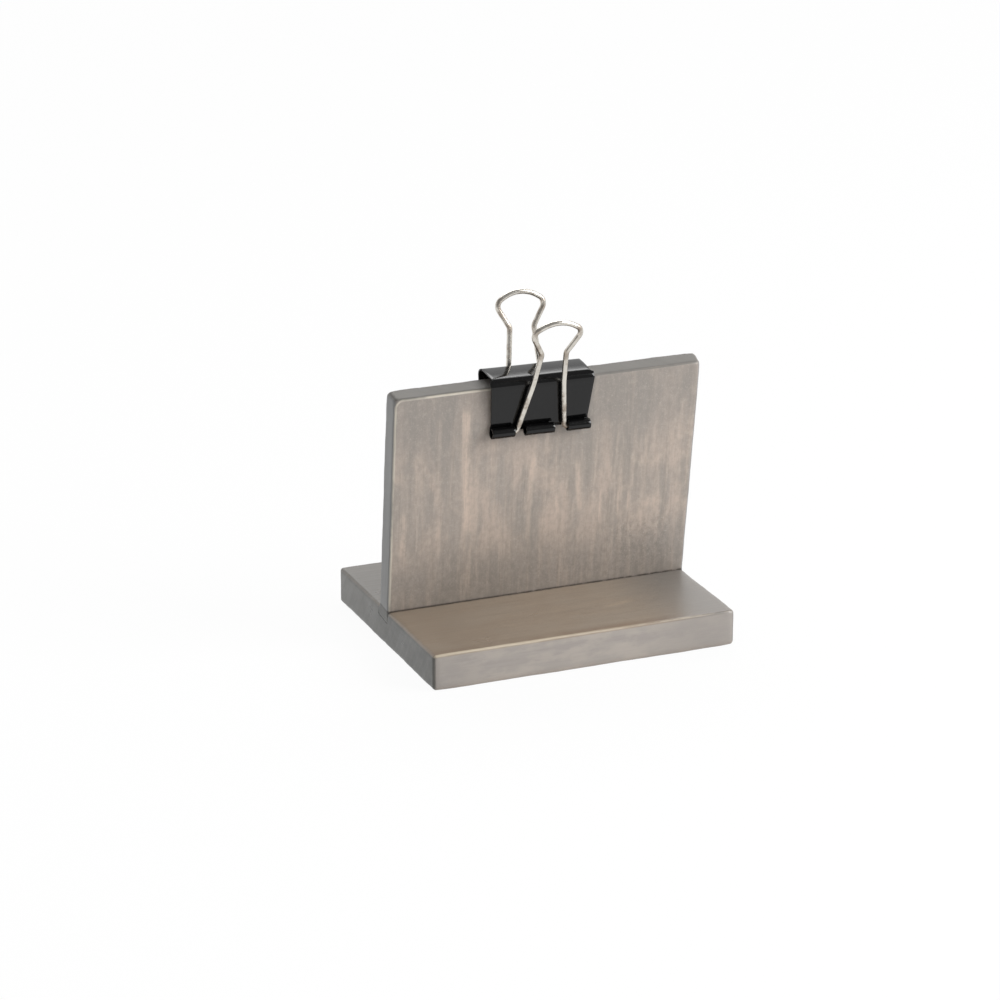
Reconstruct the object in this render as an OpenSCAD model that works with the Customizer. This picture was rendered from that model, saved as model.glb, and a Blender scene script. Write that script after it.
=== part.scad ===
// Place card holder: a grooved wooden base, a wooden panel that stands leaning in the
// groove, and a spring steel clip with two wire handles that grips the panel's top edge.
// Millimetres. X runs along the panel, -Y is the side that the panel leans toward, and
// Z is up. The origin is the middle of the base's underside.

/* [Base plank] */
// Length of the base, along the panel
base_w = 96; // [80:1:120]
// Depth of the base, from front to back
base_d = 78; // [60:1:100]
// Thickness of the base
base_t = 11.2; // [9:0.2:14]
// Radius of the base's sanded edges
base_round = 0.9; // [0.4:0.1:1.6]
// Depth of the groove that the panel stands in
groove_depth = 3.2; // [2:0.2:5]
// Gap between the panel and each wall and the floor of the groove
groove_fit = 0.1; // [0.05:0.05:0.3]

/* [Upright panel] */
// Height of the panel's face above the base
panel_h = 69.4; // [50:0.2:90]
// Thickness of the panel
panel_t = 7; // [6:0.5:9]
// Lean of the panel toward the front, in degrees
panel_lean = 6.5; // [0:0.5:12]
// Place of the panel's middle behind the base's middle, at the base's top
panel_y = 1.5; // [-4:0.5:6]
// How far the panel's left end runs out at its top, where the board isn't cut square
left_flare = 0.2; // [0:0.1:3]
// How far the right end of the panel's front face runs out at its top
right_flare = 1.2; // [0:0.1:3]
// How much longer the panel's rear face is than its front face, at the right end
right_skew = 1.4; // [0:0.1:3]
// Radius of the panel's sanded edges
panel_round = 0.9; // [0.4:0.1:1.6]

/* [Panel screws] */
// Distance between the two screws that hold the panel from below
screw_pitch = 56; // [40:1:70]
// Length of a screw
screw_len = 16; // [13:0.5:18]
// Diameter of a screw's shank
screw_d = 2.9; // [2.5:0.1:3.5]
// Diameter of a screw's countersunk head
screw_head_d = 5.6; // [5:0.1:7]
// Depth of a screw's head below the base's underside
screw_sink = 0.4; // [0.2:0.1:1]
// Gap between a screw and its hole, all round
screw_fit = 0.05; // [0.02:0.01:0.1]
// Width of the arms of the cross recess in a screw's head
drive_w = 0.7; // [0.5:0.1:1]
// Tip to tip span of the cross recess
drive_span = 3.2; // [2.4:0.1:4]
// Depth of the cross recess
drive_depth = 1.1; // [0.6:0.1:1.6]

/* [Clip body] */
// Width of the clip's front side along the panel, at its top
clip_w = 32.8; // [30:0.2:40]
// How much each end of the rear side's top falls short of the front side's
rear_short = 0.6; // [0:0.1:0.8]
// How far each end of the spine is cut in from the ends of the front side
spine_inset = 0.9; // [0.4:0.1:1.5]
// How far the spine and the tops of the sides lie to the left of the lips
sheet_skew = 0.5; // [0:0.1:0.8]
// Place of the lips' middle along the panel, from the panel's middle
clip_x = -2.1; // [-12:0.1:12]
// Tilt of the clip on the panel's edge, in degrees
clip_tilt = 1.2; // [-3:0.1:3]
// Height of the clip, from the axis of its rolled lips to the top of its spine
clip_side = 16.9; // [14:0.1:20]
// Depth of the clip across its two spine corners
spine_d = 12.2; // [11.5:0.1:14]
// Thickness of the clip's spring steel sheet
sheet_t = 0.45; // [0.35:0.05:0.6]
// Inner radius of the bend between the spine and a side
spine_bend = 0.9; // [0.5:0.1:1.5]
// Gap between the panel's top edge and the underside of the spine
spine_gap = 2; // [1.5:0.1:6]
// Inner radius of the rolled lips
curl_bore = 1.15; // [0.95:0.05:1.3]
// Sweep of the rolled lips, in degrees
curl_sweep = 295; // [270:5:300]
// Gap between a lip and the panel's face
grip_gap = 0.05; // [0.05:0.05:0.2]
// How far each end of a side is drawn in, just above the lips
side_waist = 1.1; // [0:0.1:1.4]
// How far the lips' outer ends stand out again from that waist
roll_proud = 0.3; // [0:0.1:0.8]
// Half width of the tongue, the lip's middle roll between the two notches
tongue_half = 4.5; // [4:0.1:5.6]
// Place of the tongue's middle from the middle of the lips
tongue_x = -0.4; // [-0.5:0.1:0.5]
// Distance from the middle of the lips to the inner end of each outer roll
roll_start = 8.5; // [8.4:0.1:9.5]
// Height of the notches above the axis of the lips
notch_rise = 0.2; // [0:0.1:1.5]

/* [Wire handles] */
// Diameter of the wire
wire_d = 1.6; // [1.4:0.1:1.7]
// Angle of the front handle from the panel's plane, in degrees
front_angle = 10; // [9:0.5:30]
// Angle of the rear handle from the panel's plane, in degrees
rear_angle = 15.5; // [9:0.5:30]
// Angle by which the front handle is bent toward the right
front_sway = 1.1; // [-1.5:0.1:1.5]
// Angle by which the rear handle is bent toward the right
rear_sway = -1.1; // [-1.5:0.1:1.5]
// Distance from the handle's middle to the free end of each pin
pin_end = 13.5; // [11:0.5:14]
// Distance from the handle's middle to each leg, at the pins
foot_half = 7.5; // [7.2:0.1:7.6]
// Radius of the bend between a pin and its leg
foot_bend = 1.2; // [1:0.1:1.2]
// Half width of the handle at the knee in its legs
knee_half = 4.8; // [4.4:0.1:5.4]
// Height of the knee above the pins
knee_rise = 16; // [12:0.5:18]
// Radius of the knee's soft bend
knee_bend = 14; // [8:1:20]
// Half width of the handle at its neck
neck_half = 3.85; // [3:0.05:4.2]
// Height of the neck above the pins
neck_rise = 26.3; // [23:0.1:28]
// Radius of the bend at the neck
neck_bend = 2; // [1.5:0.1:3]
// Half width of the loop, where its flare and its top would cross
loop_half = 8.1; // [7.5:0.1:10]
// Height of that crossing above the pins
loop_rise = 33.6; // [32.5:0.1:35]
// Radius of the bend at the loop's shoulders
shoulder_bend = 2.4; // [1.5:0.1:2.6]
// Height above the pins at which the two sides of the loop's top would cross
crown_rise = 38.4; // [37:0.1:40]
// Radius of the loop's top
crown_bend = 10; // [6:0.5:10.5]

/* [Hidden] */
$fn = 48;
// Length by which a cut runs past what it cuts
cut_over = 1;
// Length by which the clip's front and rear halves lap in the middle of the spine
half_lap = 0.5;
// Angle by which a bend of the sheet laps over the flats that it joins
seam_lap = 2;
// Sides of the swept wire, and the angle that its bends turn from one ring to the next
wire_sides = 20;
ring_angle = 8;
// Share of the wire's radius at which the swept facets' corners lie, inside the round pins
facet_share = 0.99;
// Share of the lips' bore, from the axis toward the side, that the notches clear
notch_share = 0.7;
// Share of a screw's radius that is left at the blunt tip of its point
tip_share = 0.25;

wood = [0.62, 0.58, 0.54];
zinc = [0.72, 0.70, 0.66];
lacquer = [0.06, 0.06, 0.06];
nickel = [0.80, 0.79, 0.76];

panel_rise = groove_depth + panel_h;
skew_angle = atan(right_skew / panel_t);

wire_r = wire_d / 2;
// Length by which the swept wire runs into its pins
pin_lap = wire_r;
curl_r = curl_bore + sheet_t;
curl_y = panel_t / 2 + grip_gap + curl_r;
spine_top = panel_h + spine_gap + sheet_t;

// The bend between the spine and a side is centred here, across and above the lips' axes
corner_y = spine_d / 2 - sheet_t - spine_bend;
corner_z = clip_side - sheet_t - spine_bend;
// A side lies on the crossing tangent of a lip's outside and its bend's inside
side_reach = norm([corner_y - curl_y, corner_z]);
side_angle = atan2(corner_y - curl_y, corner_z) + asin((curl_r + spine_bend) / side_reach);
side_len = sqrt(pow(side_reach, 2) - pow(curl_r + spine_bend, 2));
waist_half = clip_w / 2 - side_waist;
spine_half = clip_w / 2 - spine_inset;
lip_half = waist_half + roll_proud;
// The gaps in the lips on the left and on the right of the tongue
notch_spans = [[-roll_start, tongue_x - tongue_half], [tongue_x + tongue_half, roll_start]];

// The screws stand upright, under the middle of their bite in the leaning panel
bite_middle = (screw_sink + screw_len + base_t - groove_depth) / 2;
screw_y = panel_y - tan(panel_lean) * (bite_middle - base_t);
head_rim = screw_sink;
head_h = (screw_head_d - screw_d) / 2;

// The right half of a handle's wire, from its pin: corners [across, up] and bend radii
half_line = [
    [pin_end, 0],
    [foot_half, 0],
    [knee_half, knee_rise],
    [neck_half, neck_rise],
    [loop_half, loop_rise]
];
half_bends = [0, foot_bend, knee_bend, neck_bend, shoulder_bend];
handle_bends = concat(half_bends, [crown_bend], reversed(half_bends));

function reversed(list) = [for (i = [len(list) - 1:-1:0]) list[i]];

// A handle's corners from pin to pin, moved aside by the slope for each length of height
function handle_line(slope) =
    let (
        left = [for (corner = half_line) [-corner[0], corner[1]]],
        upright = concat(left, [[0, crown_rise]], reversed(half_line))
    )
    [for (corner = upright) [corner[0] + slope * corner[1], corner[1]]];

function heading(from, to) = atan2(to[1] - from[1], to[0] - from[0]);
function turn(line, i) =
    let (change = heading(line[i], line[i + 1]) - heading(line[i - 1], line[i]))
    change > 180 ? change - 360 : change < -180 ? change + 360 : change;
// Length of the straights at a corner that its bend takes up
function setback(line, bends, i) = bends[i] == 0 ? 0 : bends[i] * tan(abs(turn(line, i)) / 2);
function along(from, angle, length) = from + length * [cos(angle), sin(angle)];

// Stands its children in the panel: z runs up the panel's middle plane from the base's top
module on_panel() {
    translate([0, panel_y, base_t]) rotate([panel_lean, 0, 0]) children();
}

// Stands its children on the panel's edge as the clip sits, with the lips' axes at z = 0
module on_clip() {
    on_panel() translate([clip_x, 0, spine_top]) rotate([0, clip_tilt, 0])
        translate([0, 0, -clip_side]) children();
}

// Lays a flat outline [across, up] in the plane that its depth stands square to
module facing_y(depth) {
    rotate([90, 0, 0]) linear_extrude(depth, center = true) children();
}

module facing_x(length) {
    rotate([90, 0, 90]) linear_extrude(length, center = true) children();
}

module soft_rect(size, round) {
    square([size[0] - 2 * round, size[1]], center = true);
    square([size[0], size[1] - 2 * round], center = true);
    for (x = [-1, 1], y = [-1, 1])
        translate([x * (size[0] / 2 - round), y * (size[1] / 2 - round)]) circle(round);
}

module base_blank() {
    translate([0, 0, base_t / 2]) intersection() {
        linear_extrude(base_t, center = true) soft_rect([base_w, base_d], base_round);
        facing_x(base_w) soft_rect([base_d, base_t], base_round);
        facing_y(base_d) soft_rect([base_w, base_t], base_round);
    }
}

// A board that runs toward -X from the origin, where its end is cut at an angle and its
// upright edges are rounded
module end_rounded_board(angle) {
    normal = [cos(angle), -sin(angle)];
    inset = panel_t / 2 - panel_round;
    front = [-(inset * sin(angle) + panel_round) / cos(angle), -inset];
    rear = [(inset * sin(angle) - panel_round) / cos(angle), inset];
    linear_extrude(3 * panel_rise, center = true) {
        polygon([
            [-2 * base_w, -panel_t / 2],
            [front[0], -panel_t / 2],
            front + panel_round * normal,
            rear + panel_round * normal,
            [rear[0], panel_t / 2],
            [-2 * base_w, panel_t / 2]
        ]);
        for (corner = [front, rear]) translate(corner) circle(panel_round);
    }
}

module panel_blank() {
    right_run = right_flare + right_skew;
    intersection() {
        translate([(right_run - left_flare) / 2, 0, panel_rise / 2 - groove_depth])
            facing_y(2 * panel_t)
                soft_rect([base_w + left_flare + right_run, panel_rise], panel_round);
        translate([0, 0, panel_rise / 2 - groove_depth])
            facing_x(2 * base_w) soft_rect([panel_t, panel_rise], panel_round);
        translate([-base_w / 2, 0, 0]) rotate([0, -atan(left_flare / panel_h), 0])
            mirror([1, 0, 0]) end_rounded_board(0);
        translate([(base_w + right_skew) / 2, 0, 0]) rotate([0, atan(right_flare / panel_h), 0])
            end_rounded_board(skew_angle);
    }
}

// A screw on its head, or with a gap the hole for one, which starts below the head
module screw_shape(gap, below) {
    radius = screw_d / 2 + gap;
    head_r = screw_head_d / 2 + gap;
    point_h = screw_d;
    translate([0, 0, -below]) cylinder(h = below + head_rim, r = head_r);
    translate([0, 0, head_rim]) cylinder(h = head_h, r1 = head_r, r2 = radius);
    translate([0, 0, head_rim]) cylinder(h = screw_len - head_rim - point_h, r = radius);
    translate([0, 0, screw_len - point_h]) cylinder(h = point_h, r1 = radius, r2 = tip_share * radius);
}

module at_screws() {
    for (side = [-1, 1])
        translate([side * screw_pitch / 2, screw_y, screw_sink]) children();
}

module base_plank() {
    color(wood) difference() {
        base_blank();
        on_panel() translate([-base_w, -panel_t / 2 - groove_fit, -groove_depth - groove_fit])
            cube([2 * base_w, panel_t + 2 * groove_fit, groove_depth + base_t]);
        at_screws() screw_shape(screw_fit, screw_sink + cut_over);
    }
}

module upright_panel() {
    color(wood) difference() {
        on_panel() panel_blank();
        at_screws() screw_shape(screw_fit, 0);
    }
}

module panel_screws() {
    color(zinc) at_screws() difference() {
        screw_shape(0, 0);
        for (arm = [0, 90]) rotate(arm)
            translate([-drive_span / 2, -drive_w / 2, -cut_over])
                cube([drive_span, drive_w, drive_depth + cut_over]);
    }
}

// The sheet bent to an arc, seen along it, between two angles from the first axis
module sheet_arc(inner, start, sweep) {
    reach = 2 * (inner + sheet_t);
    steps = 8;
    intersection() {
        difference() {
            circle(inner + sheet_t);
            circle(inner);
        }
        polygon(concat(
            [[0, 0]],
            [for (i = [0:steps])
                along([0, 0], start - seam_lap + (sweep + 2 * seam_lap) * i / steps, reach)]
        ));
    }
}

// The bent sheet seen along the panel: flat spine, two sloping sides and two rolled lips
module sheet_profile() {
    translate([-corner_y, clip_side - sheet_t]) square([2 * corner_y, sheet_t]);
    for (face = [0, 1]) mirror([face, 0]) {
        translate([corner_y, corner_z]) sheet_arc(spine_bend, -side_angle, 90 + side_angle);
        translate([curl_y, 0]) rotate(-side_angle)
            translate([-curl_r, 0]) square([sheet_t, side_len]);
        translate([curl_y, 0]) sheet_arc(curl_bore, 180 - side_angle, curl_sweep);
    }
}

// The sheet's outline seen from the front: cut in at the spine's ends, with tapering sides
// and with notches at both sides of the tongue
module sheet_outline(top_half) {
    floor_z = -curl_r - cut_over;
    spine_z = clip_side - sheet_t;
    difference() {
        polygon([
            [-lip_half, floor_z],
            [lip_half, floor_z],
            [lip_half, curl_r],
            [waist_half, curl_r],
            [top_half - sheet_skew, corner_z],
            [top_half - sheet_skew, spine_z],
            [spine_half - sheet_skew, spine_z],
            [spine_half - sheet_skew, clip_side + cut_over],
            [-spine_half - sheet_skew, clip_side + cut_over],
            [-spine_half - sheet_skew, spine_z],
            [-top_half - sheet_skew, spine_z],
            [-top_half - sheet_skew, corner_z],
            [-waist_half, curl_r],
            [-lip_half, curl_r]
        ]);
        for (span = notch_spans) translate([span[0], floor_z])
            square([span[1] - span[0], notch_rise - floor_z]);
    }
}

// The gaps in the lips, beyond the sides, that let the legs of the handles swing
module lip_notches() {
    inner_y = curl_y - notch_share * curl_bore;
    for (face = [0, 1], span = notch_spans) mirror([0, face, 0])
        translate([span[0], inner_y, -curl_r - cut_over])
            cube([span[1] - span[0], 2 * curl_r, 2 * curl_r + 2 * cut_over]);
}

// What the outline of the front or the rear half of the sheet bounds, from the spine's middle
module sheet_half(face, top_half) {
    reach = spine_d + curl_y + curl_r;
    translate([0, face * (reach - half_lap) / 2, 0])
        facing_y(reach + half_lap) sheet_outline(top_half);
}

module clip_body() {
    color(lacquer) on_clip() difference() {
        intersection() {
            facing_x(2 * clip_w) sheet_profile();
            union() {
                sheet_half(-1, clip_w / 2);
                sheet_half(1, clip_w / 2 - rear_short);
            }
        }
        lip_notches();
    }
}

// The rings of a wire, as [place, heading], along a bend or at a straight's end
function bend_rings(line, bends, i) =
    let (
        bend = turn(line, i),
        side = sign(bend) * 90,
        angle = heading(line[i - 1], line[i]),
        start = along(line[i], angle, -setback(line, bends, i)),
        centre = along(start, angle + side, bends[i]),
        steps = ceil(abs(bend) / ring_angle)
    )
    [for (k = [0:steps])
        let (now = angle + bend * k / steps)
        [along(centre, now + side, -bends[i]), now]];

function wire_rings(line, bends) =
    let (
        last = len(line) - 1,
        first_angle = heading(line[0], line[1]),
        last_angle = heading(line[last - 1], line[last]),
        run_in = setback(line, bends, 1) + pin_lap,
        run_out = setback(line, bends, last - 1) + pin_lap
    )
    concat(
        [[along(line[1], first_angle, -run_in), first_angle]],
        [for (i = [1:last - 1], ring = bend_rings(line, bends, i)) ring],
        [[along(line[last - 1], last_angle, run_out), last_angle]]
    );

// Round wire swept through the rings, which stand square to it
module swept_wire(rings) {
    radius = wire_r * facet_share;
    points = [for (ring = rings, k = [0:wire_sides - 1])
        let (
            out = radius * cos(360 * k / wire_sides),
            place = along(ring[0], ring[1] + 90, out)
        )
        [place[0], radius * sin(360 * k / wire_sides), place[1]]];
    sides = [for (i = [0:len(rings) - 2], k = [0:wire_sides - 1])
        let (
            here = i * wire_sides,
            next = here + wire_sides,
            turned = (k + 1) % wire_sides
        )
        [here + k, here + turned, next + turned, next + k]];
    ends = [
        [for (k = [wire_sides - 1:-1:0]) k],
        [for (k = [0:wire_sides - 1]) (len(rings) - 1) * wire_sides + k]
    ];
    polyhedron(points, concat(sides, ends));
}

// A handle standing in the XZ plane, with its two pins along X through the origin
module wire_handle(sway) {
    line = handle_line(tan(sway));
    swept_wire(wire_rings(line, handle_bends));
    for (end = [-1, 1]) {
        foot = end < 0 ? 1 : len(line) - 2;
        pin_start = foot_half + setback(line, handle_bends, foot);
        translate([end * pin_start, 0, 0]) rotate([0, end * 90, 0])
            cylinder(h = pin_end - pin_start, r = wire_r);
    }
}

module front_handle() {
    color(nickel) on_clip() translate([0, -curl_y, 0]) rotate([front_angle, 0, 0])
        wire_handle(front_sway);
}

module rear_handle() {
    color(nickel) on_clip() translate([0, curl_y, 0]) rotate([-rear_angle, 0, 0])
        wire_handle(rear_sway);
}

base_plank();
upright_panel();
panel_screws();
clip_body();
front_handle();
rear_handle();
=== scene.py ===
import math

import bmesh
import bpy
import numpy as np
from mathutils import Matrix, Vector


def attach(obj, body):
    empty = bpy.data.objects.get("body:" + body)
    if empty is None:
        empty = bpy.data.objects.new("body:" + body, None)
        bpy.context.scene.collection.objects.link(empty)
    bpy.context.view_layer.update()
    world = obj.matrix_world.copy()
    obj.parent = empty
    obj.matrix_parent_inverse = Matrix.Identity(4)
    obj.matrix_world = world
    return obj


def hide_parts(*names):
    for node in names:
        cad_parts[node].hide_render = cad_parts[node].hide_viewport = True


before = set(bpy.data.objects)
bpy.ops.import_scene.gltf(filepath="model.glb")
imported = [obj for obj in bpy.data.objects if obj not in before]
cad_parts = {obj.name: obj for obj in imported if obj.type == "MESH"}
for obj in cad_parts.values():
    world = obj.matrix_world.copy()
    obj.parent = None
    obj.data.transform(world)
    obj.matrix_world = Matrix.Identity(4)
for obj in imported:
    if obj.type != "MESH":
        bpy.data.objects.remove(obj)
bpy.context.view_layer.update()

# Base plank: one short length of softwood board, sanded round at its arrises and wiped with a
# grey-brown wash. A groove is milled across its top for the panel, a little off the middle, and
# two countersunk holes are drilled from below. The sizes are the CAD part's own, in millimetres.
MM = 0.001
plank_size = (96.0, 78.0, 11.2)
plank_steps = (1.4, 0.35, 0.5)
plank_arris = 0.9
sanding_loss = 0.06
corner_loss = 0.4
corner_run = 4.0
groove_depth = 3.2
groove_slack = 0.1
groove_tool_half = 60.0
groove_tool_top = 10.0
panel_thick = 7.0
panel_lean = math.radians(6.5)
panel_place = (0.0, 1.5, 11.2)
screw_pitch = 56.0
screw_length = 16.0
screw_sink = 0.4
screw_head_r = 2.8
screw_shank_r = 1.45
screw_tip_r = 0.36
screw_slack = 0.05
hole_start = -1.0
hole_sides = 40
sliver = 0.005
wander_run, wander_more = 20.0, 5.0


def arris_stations(low, high, step, arris, rows=5):
    """Places along one edge of a board: even steps over its flat, and over each arris steps that
    grow with the tangent of an angle, so that the rounded edge gets evenly spaced rows."""
    turn = arris * np.tan(np.linspace(0, math.pi / 4, rows))
    flat = np.linspace(low + arris, high - arris, max(2, round((high - low - 2 * arris) / step)))
    return np.concatenate([low + arris - turn[:0:-1], flat, high - arris + turn[1:]])


def board_shell(xs, ys, zs):
    """The six sides of the block of points that three rows of stations span, as points and
    quads that face outwards and share their edges."""
    grid = np.stack(np.meshgrid(xs, ys, zs, indexing="ij"), -1).reshape(-1, 3)
    ids = np.arange(len(grid)).reshape(len(xs), len(ys), len(zs))
    sides = [ids[:, :, -1], ids[:, :, 0].T, ids[-1], ids[0].T, ids[:, -1].T, ids[:, 0]]
    quads = np.concatenate([
        np.stack([s[:-1, :-1], s[1:, :-1], s[1:, 1:], s[:-1, 1:]], -1).reshape(-1, 4) for s in sides
    ])
    used, quads = np.unique(quads, return_inverse=True)
    return grid[used], quads.reshape(-1, 4)


def waves(across, along, lengths, depths, drift, seed):
    """Grain as a sum of sine waves across the board, one of each length and depth, whose lines
    wander with a slow sine of the place along the board."""
    draw = np.random.default_rng(seed)
    total = np.zeros_like(across)
    for length, depth in zip(lengths, depths):
        start, sway, reach = draw.uniform(0, 2 * math.pi, 3)
        wander = drift * np.sin(along / (wander_run + wander_more * reach) + sway)
        total += depth * np.sin(2 * math.pi * (across + wander) / length + start)
    return total


def sanded_board(points, half, arris, relief):
    """Rounds a block of points into a sanded board: each point is clamped to the block less its
    arris radius, and put back out by that radius less the relief, along the line between."""
    core = np.clip(points, -(half - arris[:, None]), half - arris[:, None])
    out = points - core
    out /= np.maximum(np.linalg.norm(out, axis=1, keepdims=True), 1e-9)
    return core + out * (arris - relief)[:, None]


def new_piece(name, points, faces, body):
    """A smooth mesh object of points in millimetres and faces, which rides on a body."""
    mesh = bpy.data.meshes.new(name)
    mesh.from_pydata((np.asarray(points) * MM).tolist(), [], np.asarray(faces).tolist())
    mesh.polygons.foreach_set("use_smooth", [True] * len(mesh.polygons))
    piece = bpy.data.objects.new(name, mesh)
    bpy.context.scene.collection.objects.link(piece)
    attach(piece, body)
    return piece


def cut_away(piece, tool):
    """Cuts one closed mesh from another for good, closes up the slivers that the cut leaves, and
    takes the tool away."""
    cut = piece.modifiers.new("cut", "BOOLEAN")
    cut.operation, cut.solver, cut.object = "DIFFERENCE", "EXACT", tool
    bpy.context.view_layer.update()
    worked_out = piece.evaluated_get(bpy.context.evaluated_depsgraph_get())
    result = bpy.data.meshes.new_from_object(worked_out)
    piece.modifiers.remove(cut)
    mended = bmesh.new()
    mended.from_mesh(result)
    many_sided = [face for face in mended.faces if len(face.verts) > 4]
    bmesh.ops.triangulate(mended, faces=many_sided)
    bmesh.ops.dissolve_degenerate(mended, dist=sliver * MM, edges=mended.edges[:])
    mended.to_mesh(result)
    mended.free()
    spare, piece.data = piece.data, result
    result.name = spare.name
    bpy.data.meshes.remove(spare)
    bpy.data.objects.remove(tool)


def closed_tube(rings, foot, tip):
    """Points and triangles of a closed tube: rings of points, each ring joined to the next, and
    each end ring fanned to its own pole."""
    count, sides = rings.shape[:2]
    ids = np.arange(count * sides).reshape(count, sides)
    after = np.roll(ids, -1, 1)
    low, low_next, high, high_next = ids[:-1], after[:-1], ids[1:], after[1:]
    foot_id = np.full(sides, count * sides)
    tip_id = foot_id + 1
    faces = np.concatenate([
        np.stack([low, low_next, high_next], -1).reshape(-1, 3),
        np.stack([low, high_next, high], -1).reshape(-1, 3),
        np.stack([foot_id, after[0], ids[0]], -1),
        np.stack([tip_id, ids[-1], after[-1]], -1),
    ])
    return np.concatenate([rings.reshape(-1, 3), [foot, tip]]), faces


def turned(profile, sides):
    """A closed solid turned about Z: each radius and height of the profile makes one ring round
    the axis, and the two ends are closed at their own heights."""
    radius, height = np.asarray(profile, float).T
    turn = np.arange(sides) * 2 * math.pi / sides
    rings = np.stack([
        radius[:, None] * np.cos(turn), radius[:, None] * np.sin(turn),
        np.repeat(height[:, None], sides, 1),
    ], -1)
    return closed_tube(rings, (0, 0, height[0]), (0, 0, height[-1]))


def in_panel(points):
    """Turns points of the panel's own frame, where z runs up its middle plane from the base's
    top, by the lean and moves them to the panel's place."""
    x, y, z = np.asarray(points, float).T
    c, s = math.cos(panel_lean), math.sin(panel_lean)
    return np.stack([x, c * y - s * z, s * y + c * z], -1) + panel_place


plank_half = np.array(plank_size) / 2
plank_points, plank_faces = board_shell(*(
    arris_stations(-half, half, step, plank_arris) for half, step in zip(plank_half, plank_steps)
))
plank_wear = waves(
    plank_points[:, 0] + plank_points[:, 1], plank_points[:, 1] - plank_points[:, 0],
    (31.0, 13.0, 5.3), (0.12, 0.07, 0.04), 3.0, 3,
)
plank_grain = waves(
    plank_points[:, 1] + 0.7 * plank_points[:, 2], plank_points[:, 0],
    (7.1, 3.7, 1.9, 1.1), (0.014, 0.009, 0.006, 0.004), 1.6, 5,
)
plank_ends = np.clip(1 - (plank_half[0] - np.abs(plank_points[:, 0])) / corner_run, 0, 1)
plank_points = sanded_board(
    plank_points, plank_half, plank_arris * (1 + plank_wear + corner_loss * plank_ends),
    sanding_loss + plank_grain,
) + (0, 0, plank_half[2])
plank = new_piece("base_board", plank_points, plank_faces, "stand")

groove_half = panel_thick / 2 + groove_slack
groove_points, groove_faces = board_shell(
    np.array([-groove_tool_half, groove_tool_half]), np.array([-groove_half, groove_half]),
    np.array([-groove_depth - groove_slack, groove_tool_top]),
)
cut_away(plank, new_piece("groove_tool", in_panel(groove_points), groove_faces, "stand"))
bite_middle = (screw_sink + screw_length + plank_size[2] - groove_depth) / 2
screw_y = panel_place[1] - math.tan(panel_lean) * (bite_middle - plank_size[2])
screw_tip_z = screw_sink + screw_length
screw_places = [(-screw_pitch / 2, screw_y, 0.0), (screw_pitch / 2, screw_y, 0.0)]
hole_profile = [
    (screw_head_r + screw_slack, hole_start), (screw_head_r + screw_slack, 2 * screw_sink),
    (screw_shank_r + screw_slack, 2 * screw_sink + screw_head_r - screw_shank_r),
    (screw_shank_r + screw_slack, screw_tip_z - 2 * screw_shank_r),
    (screw_tip_r + screw_slack, screw_tip_z + screw_slack),
]


def drill(piece):
    """Cuts the two screws' holes from a board."""
    for place in screw_places:
        points, faces = turned(hole_profile, hole_sides)
        cut_away(piece, new_piece("hole_tool", points + place, faces, "stand"))


drill(plank)
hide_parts("base_plank")


class Wash:
    """A number, colour or vector of a finish: a node's socket. Sums with it add Math nodes."""

    def __init__(self, finish, socket):
        self.finish, self.socket = finish, socket

    def _sum(self, operation, left, right=0.0):
        return self.finish.add("ShaderNodeMath", {"operation": operation}, {0: left, 1: right})

    def __add__(self, other):
        return self._sum("ADD", self, other)

    def __radd__(self, other):
        return self._sum("ADD", other, self)

    def __sub__(self, other):
        return self._sum("SUBTRACT", self, other)

    def __rsub__(self, other):
        return self._sum("SUBTRACT", other, self)

    def __mul__(self, other):
        return self._sum("MULTIPLY", self, other)

    def __rmul__(self, other):
        return self._sum("MULTIPLY", other, self)

    def __abs__(self):
        return self._sum("ABSOLUTE", self)

    def root(self):
        return self._sum("SQRT", self)

    def least(self, other):
        return self._sum("MINIMUM", self, other)

    def most(self, other):
        return self._sum("MAXIMUM", self, other)


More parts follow.
